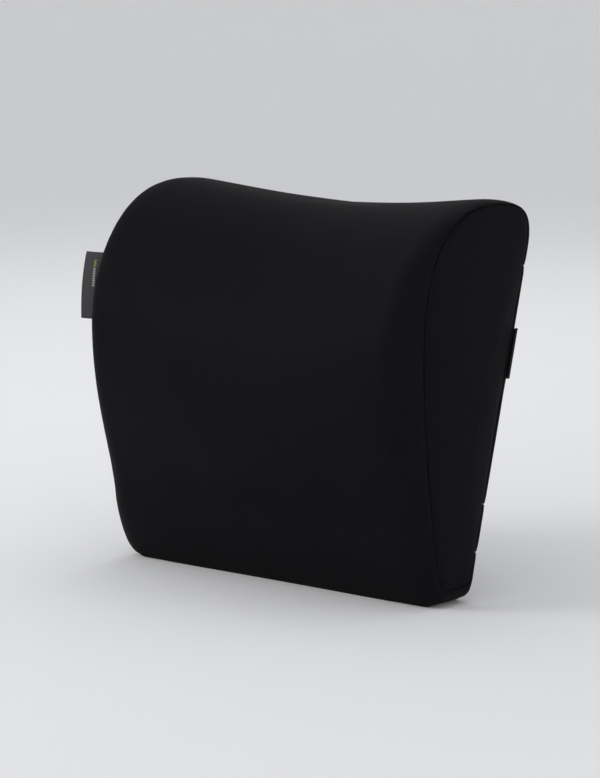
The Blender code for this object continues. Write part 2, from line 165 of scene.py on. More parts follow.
def add_node(tree, kind, inputs=None, **settings):
    """Adds one node, with its settings, and each input as a value or as a link from another socket."""
    made = tree.nodes.new(kind)
    for key, value in settings.items():
        setattr(made, key, value)
    for key, value in (inputs or {}).items():
        if isinstance(value, bpy.types.NodeSocket):
            tree.links.new(value, made.inputs[key])
        else:
            made.inputs[key].default_value = value
    return made


def from_hex(code):
    """A colour given as sRGB hex, turned to linear."""
    parts = [int(code[n:n + 2], 16) / 255 for n in (1, 3, 5)]
    return (*[c / 12.92 if c <= 0.04045 else ((c + 0.055) / 1.055) ** 2.4 for c in parts], 1.0)


def new_material(name, **sockets):
    """A material with one Principled shader, its uniform values set on the shader's own sockets."""
    made = bpy.data.materials.new(name)
    made.use_nodes = True
    shader = made.node_tree.nodes["Principled BSDF"]
    for key, value in sockets.items():
        shader.inputs[key.replace("_", " ")].default_value = value
    return made, made.node_tree, shader


def new_piece(name, mesh, finish, body):
    """Puts a finished mesh in the scene, with its material and its body."""
    made = bpy.data.objects.new(name, mesh)
    bpy.context.scene.collection.objects.link(made)
    mesh.materials.clear()
    mesh.materials.append(finish)
    if body:
        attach(made, body)
    return made


body_grid = body_rings()
left_cap = end_rings(body_grid[0], -1)
right_cap = end_rings(body_grid[-1], 1)
full_grid = np.concatenate([left_cap[::-1], body_grid, right_cap])

# Open-cell polyurethane: cream, dull, and pitted all over with cells. The cells are about 0.4 mm, drawn
# at 1.2 mm so that they show.
foam_finish, tree, shader = new_material("open_cell_foam", Roughness=0.95)
where = add_node(tree, "ShaderNodeTexCoord").outputs["Object"]
cells = add_node(tree, "ShaderNodeTexVoronoi", {"Vector": where, "Scale": 1 / 0.0012}, feature="F1")
cloud = add_node(tree, "ShaderNodeTexNoise", {"Vector": where, "Scale": 22.0, "Detail": 3.0})
tone = add_node(tree, "ShaderNodeMixRGB", {
    "Fac": cloud.outputs[0], "Color1": from_hex("#d8cba0"), "Color2": from_hex("#e6dcb8")})
pits = add_node(tree, "ShaderNodeBump", {
    "Height": cells.outputs["Distance"], "Distance": 0.0004, "Strength": 0.6})
tree.links.new(tone.outputs["Color"], shader.inputs["Base Color"])
tree.links.new(pits.outputs["Normal"], shader.inputs["Normal"])


def sunk(mesh, depth):
    """Moves a closed skin in along its normals."""
    normals = np.zeros(3 * len(mesh.vertices))
    mesh.vertex_normals.foreach_get("vector", normals)
    points = np.zeros(3 * len(mesh.vertices))
    mesh.vertices.foreach_get("co", points)
    mesh.vertices.foreach_set("co", points - normals * depth)
    mesh.update()
    return mesh


foam = new_piece("foam_wedge", sunk(closed_skin(full_grid), FOAM_UNDER), foam_finish, "cushion")
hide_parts("foam_core")


# The inner liner --------------------------------------------------------------------------------------
# A plain off-white jersey bag that keeps the foam clean when the cover is off. It is sewn shut and fits
# the foam closely, so it is the foam's shape again, 0.8 mm thick.

LINER_UNDER, LINER_THICK = 0.0052, 0.0008


def jersey(tree, where, wale):
    """Jersey's face: columns of V-shaped loops, one wale wide, as a height from 0 to 1."""
    split = add_node(tree, "ShaderNodeSeparateXYZ", {"Vector": where})
    made = {"x": split.outputs["X"], "y": split.outputs["Y"]}
    for result, operation, *values in (
            ("columns", "DIVIDE", "x", wale),
            ("column", "FRACT", "columns"),
            ("aside", "SUBTRACT", "column", 0.5),
            ("slope", "ABSOLUTE", "aside"),
            ("courses", "DIVIDE", "y", wale * 0.8),
            ("lean", "MULTIPLY", "slope", 1.3),
            ("course", "ADD", "courses", "lean"),
            ("turn", "MULTIPLY", "course", pi),
            ("wave", "SINE", "turn"),
            ("yarn", "ABSOLUTE", "wave"),
            ("width", "MULTIPLY", "column", pi),
            ("groove", "SINE", "width"),
            ("full_yarn", "POWER", "yarn", 0.7),
            ("full_groove", "POWER", "groove", 0.6),
            ("face", "MULTIPLY", "full_yarn", "full_groove")):
        inputs = {n: made.get(value, value) for n, value in enumerate(values)}
        made[result] = add_node(tree, "ShaderNodeMath", inputs, operation=operation).outputs[0]
    return made["face"]


def thicken(piece, thickness, offset):
    """Gives a sheet its thickness: below its face at -1, half each way at 0, above it at 1."""
    wall = piece.modifiers.new("cloth", "SOLIDIFY")
    wall.thickness, wall.offset = thickness, offset


# Bleached cotton and polyester jersey: matt, with fine columns. Real wales are 0.8 mm; drawn at 1.6 mm.
liner_finish, tree, shader = new_material(
    "cotton_jersey", Base_Color=from_hex("#dcdad4"), Roughness=0.9, Sheen_Weight=0.2)
where = add_node(tree, "ShaderNodeTexCoord").outputs["Object"]
upright = add_node(tree, "ShaderNodeMapping", {"Vector": where, "Rotation": (radians(90), 0, 0)})
loops = add_node(tree, "ShaderNodeBump", {
    "Height": jersey(tree, upright.outputs["Vector"], 0.0016), "Distance": 0.0003, "Strength": 0.5})
tree.links.new(loops.outputs["Normal"], shader.inputs["Normal"])
liner_skin = sunk(closed_skin(full_grid), LINER_UNDER)
liner = new_piece("liner_bag", liner_skin, liner_finish, "cushion")
thicken(liner, LINER_THICK, -1)
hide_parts("inner_liner")


# The cover --------------------------------------------------------------------------------------------
# A two-way stretch knit in near-black polyester, brushed on the face, cut as five panels: the front, two
# on the back and two ends. Plain seams join them, sewn inside out, so each edge rolls in to a groove.

FABRIC = 0.0010
ZIP_ROW, TOP_SEAM_ROW = 7, 43             # the outline's points on those two lines
SEAM_ROLL = 0.0010                        # radius of the roll in to the seam
SEAM_DEPTH = 0.0036                       # how deep the allowance goes
SWELL = 0.0013                            # how far under the finished shape the seams are held
SWELL_LIMIT = 1.25                        # the most that the cloth moves, in parts of that
ZIP_HOLD = 0.85                           # how much of it the zip's tapes take away
FLAT_UNDER = 0.0006                       # the base is flat below this height
SEAM_STEPS = np.array([0.0001, 0.0003, 0.0006, 0.0010, 0.0016, 0.0025, 0.0038, 0.0055, 0.0085, 0.0125])
CELL = 0.0032                             # spacing of the panels' points away from the seams


def swollen(rings, first, last):
    """The cover's skin, filled out by its foam from a slightly smaller shape and held along its seams.

    How far it moves is capped, and the zip's tapes keep the cloth beside them almost still.
    """
    blank = bpy.data.objects.new("blank", closed_skin(rings))
    bpy.context.scene.collection.objects.link(blank)
    rows = rings.shape[1]
    normals = np.zeros(3 * len(blank.data.vertices))
    blank.data.vertex_normals.foreach_get("vector", normals)
    normals = normals.reshape(-1, 3)[:rings.shape[0] * rows].reshape(rings.shape)
    held = np.full(rings.shape[:2], SWELL)
    along_zip = np.clip((0.150 - np.abs(rings[:, :len(BACK_STOPS), 0])) / 0.020, 0, 1)
    held[:, :len(BACK_STOPS)] *= 1 - ZIP_HOLD * along_zip * np.exp(-((BACK_STOPS - ZIP_S) / 0.018) ** 2)
    start = rings - normals * held[..., None]
    flat_base = rings[..., 2] < FLAT_UNDER
    start[flat_base] = rings[flat_base]
    sewn = np.zeros(rings.shape[:2], bool)
    sewn[[first, last]] = True
    sewn[first:last + 1, [0, ZIP_ROW, TOP_SEAM_ROW]] = True
    sewn[flat_base] = True
    tips = np.array([start[0].mean(axis=0), start[-1].mean(axis=0)])
    blank.data.vertices.foreach_set("co", np.concatenate([start.reshape(-1, 3), tips]).ravel())
    group = blank.vertex_groups.new(name="sewn")
    group.add(np.flatnonzero(sewn.ravel()).tolist(), 1.0, "REPLACE")
    cloth = blank.modifiers.new("cloth", "CLOTH")
    cloth.settings.quality = 5
    cloth.settings.mass = 0.25
    cloth.settings.tension_stiffness = cloth.settings.compression_stiffness = 12
    cloth.settings.shear_stiffness, cloth.settings.bending_stiffness = 5, 1.5
    cloth.settings.use_pressure, cloth.settings.uniform_pressure_force = True, 4
    cloth.settings.vertex_group_mass = "sewn"
    cloth.settings.effector_weights.gravity = 0
    scene = bpy.context.scene
    scene.frame_start, scene.frame_end = 1, 20
    for number in range(1, 21):
        scene.frame_set(number)
    shape = blank.evaluated_get(bpy.context.evaluated_depsgraph_get()).to_mesh()
    moved = np.zeros(3 * len(shape.vertices))
    shape.vertices.foreach_get("co", moved)
    moved = moved.reshape(-1, 3)[:rings.shape[0] * rows].reshape(rings.shape) - start
    scene.frame_set(1)
    bpy.data.objects.remove(blank)
    out = (moved * normals).sum(axis=2)
    out = SWELL_LIMIT * held * np.tanh(np.clip(out, 0, None) / held)
    for _ in range(2):
        soft = (np.roll(out, 1, 1) + np.roll(out, -1, 1) + 2 * out) / 4
        soft[1:-1] = (soft[:-2] + soft[2:] + 2 * soft[1:-1]) / 4
        out = np.where(sewn, out, soft)
    result = start + normals * out[..., None]
    result[flat_base] = rings[flat_base]
    return result


def finer(grid, times, cyclic=False):
    """More lines along the grid's first axis, on Catmull-Rom curves through the ones it has."""
    if cyclic:
        padded = np.concatenate([grid[-1:], grid, grid[:2]])
    else:
        padded = np.concatenate([2 * grid[:1] - grid[1:2], grid, 2 * grid[-1:] - grid[-2:-1]])
    count = len(padded) - 3
    made = []
    for n in range(count):
        a, b, c, d = padded[n:n + 4]
        for t in np.arange(times) / times:
            made.append(0.5 * (2 * b + (c - a) * t + (2 * a - 5 * b + 4 * c - d) * t ** 2
                               + (3 * b - a - 3 * c + d) * t ** 3))
    if not cyclic:
        made.append(grid[-1])
    return np.array(made)


def respaced(grid, low_sewn, high_sewn, low_start=0.0):
    """Moves the lines of the first axis to set distances from a sewn edge, and evenly elsewhere."""
    steps = np.linalg.norm(np.diff(grid, axis=0), axis=2)
    travel = np.concatenate([np.zeros((1, grid.shape[1])), np.cumsum(steps, axis=0)])
    low = SEAM_STEPS if low_sewn else np.zeros(1)
    high = SEAM_STEPS if high_sewn else np.zeros(1)
    count = max(4, int((travel[-1].mean() - low[-1] - high[-1]) / CELL))
    share = np.linspace(0, 1, count + 1)[1:-1]
    starts = np.broadcast_to(low_start, grid.shape[1:2])
    made = np.empty((len(low) + len(share) + len(high), grid.shape[1], 3))
    for n, (line, total, start) in enumerate(zip(travel.T, travel[-1], starts)):
        room = min(1.0, 0.45 * (total - start) / 0.0125)
        inner, outer = start + low * room, total - high[::-1] * room
        where = np.concatenate([inner, inner[-1] + share * (outer[0] - inner[-1]), outer])
        for axis in range(3):
            made[:, n, axis] = np.interp(where, line, grid[:, n, axis])
    return made


def grid_normals(grid, cyclic=False):
    """Unit normals of a grid of points, from its lines in both directions."""
    across = np.gradient(grid, axis=0)
    if cyclic:
        along = (np.roll(grid, -1, axis=1) - np.roll(grid, 1, axis=1)) / 2
    else:
        along = np.gradient(grid, axis=1)
    normal = np.cross(across, along)
    return normal / np.maximum(np.linalg.norm(normal, axis=2, keepdims=True), 1e-12)


def travelled(grid, axis):
    """Distance along one axis of a grid from its first line."""
    steps = np.linalg.norm(np.diff(grid, axis=axis), axis=2)
    zero = np.zeros_like(np.take(steps, [0], axis=axis))
    return np.concatenate([zero, np.cumsum(steps, axis=axis)], axis=axis)


def seam_sink(distance, along):
    """How deep the cloth lies at a distance from its seam: a roll, and a dimple that puckers."""
    inside = np.clip(SEAM_ROLL - distance, 0, SEAM_ROLL)
    roll = SEAM_ROLL - np.sqrt(SEAM_ROLL ** 2 - inside ** 2)
    pucker = 1 + 0.30 * np.sin(along / 0.0075) * np.sin(along / 0.019 + 1.3) + 0.15 * np.sin(along / 0.0041)
    return roll + 0.0006 * pucker * np.exp(-(distance / 0.0045) ** 2)


def lay_map(mesh, coords):
    """The piece's own UV map, from one pair of distances along the cloth for each point."""
    corner = np.zeros(len(mesh.loops), int)
    mesh.loops.foreach_get("vertex_index", corner)
    mesh.uv_layers.new(name="cloth").data.foreach_set("uv", coords[corner].ravel())


def panel_mesh(name, grid, sewn, outward, cyclic=False):
    """A panel's cloth: its grid with every sewn edge rolled in, a tucked allowance, and its own UV map."""
    normal = grid_normals(grid, cyclic)
    if (normal * outward(grid)).sum() < 0:
        normal = -normal
    across, along = travelled(grid, 0), travelled(grid, 1)
    sinks = []
    edges = ((across, along), (across[-1:] - across, along),
             (along, across), (along[:, -1:] - along, across))
    for is_sewn, (distance, run) in zip(sewn, edges):
        if is_sewn:
            sinks.append(seam_sink(distance, run))
    depth = np.sqrt(sum(sink ** 2 for sink in sinks))
    points = grid - normal * depth[..., None]
    tuck = SEAM_DEPTH - SEAM_ROLL
    u, v = across.copy(), along.copy()
    if sewn[0]:
        points = np.concatenate([points[:1] - normal[:1] * tuck, points])
        u, v, normal = (np.concatenate([a[:1], a]) for a in (u, v, normal))
    if sewn[1]:
        points = np.concatenate([points, points[-1:] - normal[-1:] * tuck])
        u, v, normal = (np.concatenate([a, a[-1:]]) for a in (u, v, normal))
    if sewn[2]:
        points = np.concatenate([points[:, :1] - normal[:, :1] * tuck, points], axis=1)
        u, v, normal = (np.concatenate([a[:, :1], a], axis=1) for a in (u, v, normal))
    if sewn[3]:
        points = np.concatenate([points, points[:, -1:] - normal[:, -1:] * tuck], axis=1)
        u, v, normal = (np.concatenate([a, a[:, -1:]], axis=1) for a in (u, v, normal))
    lines, rows = points.shape[:2]
    places = points.reshape(-1, 3).tolist()
    faces = grid_faces(lines, rows, cyclic)
    coords = np.stack([u, v], axis=2).reshape(-1, 2)
    if cyclic:
        places.append(points[-1].mean(axis=0).tolist())
        faces += [(len(places) - 1, (lines - 1) * rows + i, (lines - 1) * rows + (i + 1) % rows)
                  for i in range(rows)]
        coords = np.array(places)[:, [1, 2]]
    mesh = bpy.data.meshes.new(name)
    mesh.from_pydata(places, [], faces)
    facing = sum(face.area * face.normal.dot(Vector(outward(np.array([[face.center]]))[0, 0]))
                 for face in mesh.polygons)
    if facing < 0:
        mesh.flip_normals()
    lay_map(mesh, coords)
    mesh.shade_smooth()
    return mesh


# Brushed polyester and elastane knit: near-black with a cool cast and very matt, with a broad faint gleam
# where it turns to the light. Real wales are 0.6 mm; drawn at 1.5 mm so that they just show. Its colour is
# painted darker in the grooves between the loops, as shade.
cover_finish, tree, shader = new_material(
    "brushed_stretch_knit", Roughness=0.60, Specular_IOR_Level=0.032)
cloth_map = add_node(tree, "ShaderNodeUVMap", uv_map="cloth").outputs["UV"]
spread = add_node(tree, "ShaderNodeTexCoord").outputs["Object"]
height = jersey(tree, cloth_map, 0.0015)
nap = add_node(tree, "ShaderNodeTexNoise", {"Vector": spread, "Scale": 900.0, "Detail": 2.0})
cloud = add_node(tree, "ShaderNodeTexNoise", {"Vector": spread, "Scale": 38.0, "Detail": 4.0})
worn = add_node(tree, "ShaderNodeMixRGB", {
    "Fac": cloud.outputs[0], "Color1": from_hex("#111113"), "Color2": from_hex("#151518")})
# Painted shade: the colour is scaled down in the knit's grooves between loops and up on the loops' tops.
painted_groove_shade = add_node(tree, "ShaderNodeMapRange", {0: height, 3: 0.72, 4: 1.12})
tone = add_node(tree, "ShaderNodeVectorMath", {0: worn.outputs["Color"], "Scale": painted_groove_shade.outputs[0]},
                operation="SCALE")
fuzz = add_node(tree, "ShaderNodeMath", {0: nap.outputs[0], 1: height}, operation="ADD")
loops = add_node(tree, "ShaderNodeBump", {"Height": fuzz.outputs[0], "Distance": 0.00025, "Strength": 0.25})
tree.links.new(tone.outputs[0], shader.inputs["Base Color"])
tree.links.new(loops.outputs["Normal"], shader.inputs["Normal"])

first_ring, last_ring = len(left_cap), len(left_cap) + len(body_grid) - 1
cover = swollen(full_grid, first_ring, last_ring)
body_cover = cover[first_ring:last_ring + 1]
fine_body = finer(body_cover, 4)


def from_axis(points):
    """Directions away from the cushion's own middle."""
    return points - np.array([0.0, 0.010, 0.150])


def sewn_panel(name, rows, sewn, node, low_start=0.0):
    """One panel of the body, between two of the back's seams, closed to a shell of cloth."""
    strip = respaced(fine_body[:, rows], True, True)
    strip = finer(strip.transpose(1, 0, 2), 4)
    start = low_start(strip[0, :, 0]) if callable(low_start) else low_start
    strip = respaced(strip, sewn[2], sewn[3], start).transpose(1, 0, 2)
    made = new_piece(name, panel_mesh(name, strip, sewn, from_axis), cover_finish, None)
    thicken(made, FABRIC, -1)
    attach(made, "cushion")
    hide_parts(node)
    return made


SLIT_HALF_WIDTH, SLIT_HALF_LENGTH = 0.0050, 0.120


def slit_edge(x):
    """How far a back panel's folded edge stands off the zip's line, at each x."""
    closing = np.clip((np.abs(x) - SLIT_HALF_LENGTH) / 0.006, 0, 1)
    return SLIT_HALF_WIDTH * (1 - closing * closing * (3 - 2 * closing))


all_sewn = (True, True, True, True)
front_rows = list(range(TOP_SEAM_ROW, cover.shape[1])) + [0]
sewn_panel("front_cover", front_rows, all_sewn, "front_panel")
upper_rows, lower_rows = list(range(ZIP_ROW, TOP_SEAM_ROW + 1)), list(range(ZIP_ROW, -1, -1))
sewn_panel("upper_back_cover", upper_rows, all_sewn, "back_panel_upper", slit_edge)
sewn_panel("lower_back_cover", lower_rows, all_sewn, "back_panel_lower", slit_edge)

for name, side, rings in (("left", -1, cover[first_ring::-1]), ("right", 1, cover[last_ring:])):
    fan = finer(rings, 4)
    fan = finer(fan.transpose(1, 0, 2), 3, cyclic=True).transpose(1, 0, 2)
    fan = respaced(fan, True, False)
    mesh = panel_mesh(name + "_end_cover", fan, (True, False, False, False),
                      lambda points, side=side: np.broadcast_to([float(side), 0, 0], points.shape),
                      cyclic=True)
    end = new_piece(name + "_end_cover", mesh, cover_finish, "cushion")
    thicken(end, FABRIC, -1)
    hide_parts(name + "_end_panel")


# The labels -------------------------------------------------------------------------------------------
# A folded woven label stands out from the left end seam, with a plain worked mark in place of a name. A
# white satin care label, left blank, is stitched flat to the back by its top edge.

def grid_mesh(name, grid):
    """A sheet of quads through a grid of points, with distances along it as its UV map."""
    mesh = bpy.data.meshes.new(name)
    mesh.from_pydata(grid.reshape(-1, 3).tolist(), [], grid_faces(*grid.shape[:2], False))
    lay_map(mesh, np.stack([travelled(grid, 1), travelled(grid, 0)], axis=2).reshape(-1, 2))
    mesh.shade_smooth()
    return mesh


def woven(name, light, hollow_shade, thread, roughness, **sockets):
    """Plain or satin weave: threads crossing at a right angle on the piece's own UV map, its colour painted
    darker in the hollows between threads, as shade.
    """
    made, tree, shader = new_material(name, Roughness=roughness, **sockets)
    cloth_map = add_node(tree, "ShaderNodeUVMap", uv_map="cloth").outputs["UV"]
    split = add_node(tree, "ShaderNodeSeparateXYZ", {"Vector": cloth_map})
    waves = []
    for axis, pitch in (("X", thread), ("Y", thread * 0.6)):
        turn = add_node(tree, "ShaderNodeMath", {0: split.outputs[axis], 1: pi / pitch},
                        operation="MULTIPLY")
        wave = add_node(tree, "ShaderNodeMath", {0: turn.outputs[0]}, operation="SINE")
        crest = add_node(tree, "ShaderNodeMath", {0: wave.outputs[0]}, operation="ABSOLUTE")
        waves.append(crest.outputs[0])
    height = add_node(tree, "ShaderNodeMath", {0: waves[0], 1: waves[1]}, operation="MULTIPLY").outputs[0]
    # Painted shade: the colour runs from the lighter one on the threads' crests to the darker one in the
    # hollows between them.
    tone = add_node(tree, "ShaderNodeMixRGB", {
        "Fac": height, "Color1": from_hex(hollow_shade), "Color2": from_hex(light)})
    ridges = add_node(tree, "ShaderNodeBump", {"Height": height, "Distance": 0.0002, "Strength": 0.4})
    tree.links.new(tone.outputs["Color"], shader.inputs["Base Color"])
    tree.links.new(ridges.outputs["Normal"], shader.inputs["Normal"])
    return made


# Damask polyester: charcoal, smooth and a little shiny. Real threads are 0.2 mm; drawn at 0.9 mm.
label_finish = woven("damask_charcoal", "#212226", "#17181b", 0.0009, 0.6, Sheen_Weight=0.03)
low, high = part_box("side_label")
LABEL_THICK, LABEL_SWEEP = 0.0011, 0.0036
rise, reach = np.linspace(0, 1, 22), np.linspace(0, 1, 16)
edge = body_cover[0]
edge = edge[edge[:, 1] < 0]
edge = edge[np.argsort(edge[:, 2])]
level = low[2] + rise * (high[2] - low[2])
root = np.interp(level, edge[:, 2], edge[:, 1])
grid = np.zeros((len(rise), len(reach), 3))
grid[..., 0] = -EDGE_X + 0.0010 + reach[None, :] * (low[0] + EDGE_X - 0.0012)
sweep = LABEL_SWEEP * reach[None, :] + 0.0009 * np.sin(pi * reach[None, :]) * (0.4 + rise[:, None])
grid[..., 1] = root[:, None] - sweep
grid[..., 2] = level[:, None]
tag = new_piece("woven_side_label", grid_mesh("woven_side_label", grid), label_finish, None)
thicken(tag, LABEL_THICK, 0)
soft = tag.modifiers.new("fold", "BEVEL")
soft.width, soft.segments, soft.limit_method = 0.0004, 2, "ANGLE"
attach(tag, "cushion")
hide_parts("side_label")


def thread_bars(name, places, finish, body):
    """Worked stitches: a short rounded bar of thread at each given start and end point."""
    form = bmesh.new()
    for start, end, thick in places:
        start, end = Vector(start), Vector(end)
        run = end - start
        turn = run.to_track_quat("Z", "Y").to_matrix().to_4x4()
        bar = bmesh.ops.create_cone(form, cap_ends=True, segments=8, radius1=thick / 2,
                                    radius2=thick / 2, depth=run.length)["verts"]
        bmesh.ops.transform(form, matrix=Matrix.Translation((start + end) / 2) @ turn, verts=bar)
    bmesh.ops.bevel(form, geom=[e for e in form.edges if e.calc_face_angle(0) > 1.2], offset=0.00012,
                    segments=1, affect="EDGES")
    mesh = bpy.data.meshes.new(name)
    form.to_mesh(mesh)
    form.free()
    mesh.shade_smooth()
    return new_piece(name, mesh, finish, body)


# Rayon thread, worked: lime at the top of the mark and off-white below it, silky.
STITCH_STEP, STITCH_HALF, STITCH_THICK = 0.026, 0.0011, 0.0007    # the step is a share of the label
for name, colour, share in (
        ("mark_lime", "#b9c23c", (0.80, 0.88)), ("mark_pale", "#c9cbc4", (0.50, 0.77))):
    silk, tree, shader = new_material("rayon_" + name, Roughness=0.45, Sheen_Weight=0.2)
    where = add_node(tree, "ShaderNodeTexCoord").outputs["Object"]
    strands = add_node(tree, "ShaderNodeTexWave", {"Vector": where, "Scale": 900.0}, bands_direction="Z")
    tone = add_node(tree, "ShaderNodeMixRGB", {
        "Fac": strands.outputs[1], "Color1": from_hex(colour),
        "Color2": tuple(0.7 * c for c in from_hex(colour)[:3]) + (1.0,)})
    tree.links.new(tone.outputs["Color"], shader.inputs["Base Color"])
    bars = []
    for level in np.arange(share[0], share[1], STITCH_STEP):
        row, column = int(level * (len(rise) - 1)), int(0.47 * (len(reach) - 1))
        spot = grid[row, column] + np.array([0, -LABEL_THICK / 2 - 0.0001, 0])
        spot[2] = low[2] + level * (high[2] - low[2])
        run = grid[row, column + 1] - grid[row, column - 1]
        run = run / np.linalg.norm(run)
        bars.append((spot - STITCH_HALF * run, spot + STITCH_HALF * run, STITCH_THICK))
    thread_bars("label_" + name, bars, silk, "cushion")


def on_back(x, s, height):
    """A point of the back's plane, s up its slope and height off it, in the model's frame."""
    y, z = back_point(float(s), float(height))
    return (float(x), y, z)


# Satin-woven acetate: white and smooth. Real threads are 0.15 mm; drawn at 0.8 mm.
satin_finish = woven("acetate_satin", "#e9e8e3", "#d8d7d1", 0.0008, 0.5)
columns, levels = np.linspace(0.084, 0.114, 14), np.linspace(0.0862, 0.1258, 18)


def care_curl(x, s):
    """How far the care label stands off the back: its free lower edge curls out."""
    curl = 0.0010 + 0.0030 * np.clip((0.104 - s) / 0.018, 0, 1) ** 2
    return curl - 0.0004 + 0.0004 * np.sin(x * 400)


grid = np.array([[on_back(x, s, care_curl(x, s)) for x in columns] for s in levels])
care = new_piece("care_label_tape", grid_mesh("care_label_tape", grid), satin_finish, None)
thicken(care, 0.0004, 1)
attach(care, "cushion")
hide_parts("care_label")

# Spun polyester thread: near-black with a dull twist.
stitch_finish, tree, shader = new_material("polyester_thread", Roughness=0.5)
where = add_node(tree, "ShaderNodeTexCoord").outputs["Object"]
twist = add_node(tree, "ShaderNodeTexWave", {"Vector": where, "Scale": 700.0}, bands_direction="DIAGONAL")
tone = add_node(tree, "ShaderNodeMixRGB", {
    "Fac": twist.outputs[1], "Color1": from_hex("#26262a"), "Color2": from_hex("#17171a")})
tree.links.new(tone.outputs["Color"], shader.inputs["Base Color"])
CARE_SEAM_S, CARE_SEAM_H = 0.1235, 0.0011
care_bars = [
    (on_back(x, CARE_SEAM_S, CARE_SEAM_H), on_back(x + 0.0019, CARE_SEAM_S, CARE_SEAM_H), 0.0005)
    for x in np.arange(0.0855, 0.1115, 0.0027)]
thread_bars("care_label_stitches", care_bars, stitch_finish, "cushion")


# The zip ----------------------------------------------------------------------------------------------
# A nylon coil zip across the lower back: two woven tapes under the folded edges of the slit, each with a
# row of coil loops sewn to it, metal stops at both ends, and an enamelled slider with a hinged pull.

def node_setup(name, sockets):
    """An empty Geometry Nodes tree with named number inputs and one geometry output."""
    tree = bpy.data.node_groups.new(name, "GeometryNodeTree")
    for label, value in sockets:
        socket = tree.interface.new_socket(name=label, in_out="INPUT", socket_type="NodeSocketFloat")
        socket.default_value = value
    tree.interface.new_socket(name="Geometry", in_out="OUTPUT", socket_type="NodeSocketGeometry")
    return tree, tree.nodes.new("NodeGroupInput"), tree.nodes.new("NodeGroupOutput")


def row_tree(name, unit, finish):
    """A tree that repeats one unit shape along X, Count times, Pitch apart, from a first place."""
    tree, given, result = node_setup(name, [
        ("Count", 10), ("Pitch", 0.001), ("Start", 0), ("Side", 0), ("Rise", 0)])
    whole = add_node(tree, "FunctionNodeFloatToInt", {0: given.outputs["Count"]})
    start = add_node(tree, "ShaderNodeCombineXYZ", {
        "X": given.outputs["Start"], "Y": given.outputs["Side"], "Z": given.outputs["Rise"]})
    offset = add_node(tree, "ShaderNodeCombineXYZ", {"X": given.outputs["Pitch"]})
    line = add_node(tree, "GeometryNodeMeshLine", {
        "Count": whole.outputs[0], "Start Location": start.outputs[0], "Offset": offset.outputs[0]})
    shape = add_node(tree, "GeometryNodeObjectInfo", {"Object": unit})
    copies = add_node(tree, "GeometryNodeInstanceOnPoints", {
        "Points": line.outputs["Mesh"], "Instance": shape.outputs["Geometry"]})
    real = add_node(tree, "GeometryNodeRealizeInstances", {"Geometry": copies.outputs["Instances"]})
    dyed = add_node(tree, "GeometryNodeSetMaterial", {
        "Geometry": real.outputs["Geometry"], "Material": finish})
    tree.links.new(dyed.outputs["Geometry"], result.inputs["Geometry"])
    return tree


def repeated(name, unit, finish, body, rows, place):
    """Rows of one repeated unit, as one plain mesh placed by a matrix."""
    tree = row_tree(name, unit, finish)
    keys = {item.name: item.identifier for item in tree.interface.items_tree if item.in_out == "INPUT"}
    form = bmesh.new()
    for row in rows:
        holder = bpy.data.objects.new(name + "_row", bpy.data.meshes.new(name + "_row"))
        bpy.context.scene.collection.objects.link(holder)
        maker = holder.modifiers.new("rows", "NODES")
        maker.node_group = tree
        for label, value in zip(("Count", "Pitch", "Start", "Side", "Rise"), row):
            maker[keys[label]] = float(value)
        view = holder.evaluated_get(bpy.context.evaluated_depsgraph_get())
        made = bpy.data.meshes.new_from_object(view)
        form.from_mesh(made)
        bpy.data.objects.remove(holder)
    mesh = bpy.data.meshes.new(name)
    form.to_mesh(mesh)
    form.free()
    mesh.transform(place)
    mesh.shade_smooth()
    return new_piece(name, mesh, finish, body)


# The back's own frame: X as the cushion's, Y down its slope, Z out of it.
back_frame = Matrix.Translation((0, BACK_FOOT_Y, 0)) @ Matrix.Rotation(-pi / 2 - BACK_LEAN, 4, "X")
zip_frame = back_frame @ Matrix.Translation((0, -ZIP_S, 0))


def unit_shape(name, build):
    """A hidden shape for the rows to repeat."""
    form = bmesh.new()
    build(form)
    mesh = bpy.data.meshes.new(name)
    form.to_mesh(mesh)
    form.free()
    return bpy.data.objects.new(name, mesh)


def bead(length, width, height, segments=8):
    """A builder of one rounded bead: long across, or along, as its sizes say."""
    def build(form):
        bmesh.ops.create_uvsphere(form, u_segments=segments, v_segments=5, radius=0.5)
        for vert in form.verts:
            lift = [abs(c * 2) ** 0.55 * (1 if c > 0 else -1) / 2 for c in vert.co]
            vert.co = Vector((lift[0] * length, lift[1] * width, lift[2] * height))
    return build


# Woven polyester tape, black and matt, in a fine twill. Real threads are 0.3 mm; drawn at 0.9 mm.
TAPE_HALF_LENGTH, TAPE_INNER, TAPE_OUTER, TAPE_THICK, TAPE_H = 0.128, 0.0010, 0.0138, 0.0006, -0.0026
tape_finish = woven("polyester_tape", "#19191b", "#101012", 0.0009, 0.85, Sheen_Weight=0.05)
for name, side in (("upper", -1), ("lower", 1)):
    xs = np.linspace(-TAPE_HALF_LENGTH, TAPE_HALF_LENGTH, 90)
    ys = side * np.linspace(TAPE_INNER, TAPE_OUTER, 10)
    grid = np.array([[tuple(zip_frame @ Vector((x, y, TAPE_H + 0.0002 * cos(900 * y)))) for y in ys]
                     for x in xs])
    tape = new_piece("zip_tape_" + name + "_cloth", grid_mesh("zip_tape", grid), tape_finish, None)
    thicken(tape, TAPE_THICK, 0)
    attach(tape, "cushion")
    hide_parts("zip_tape_" + name)

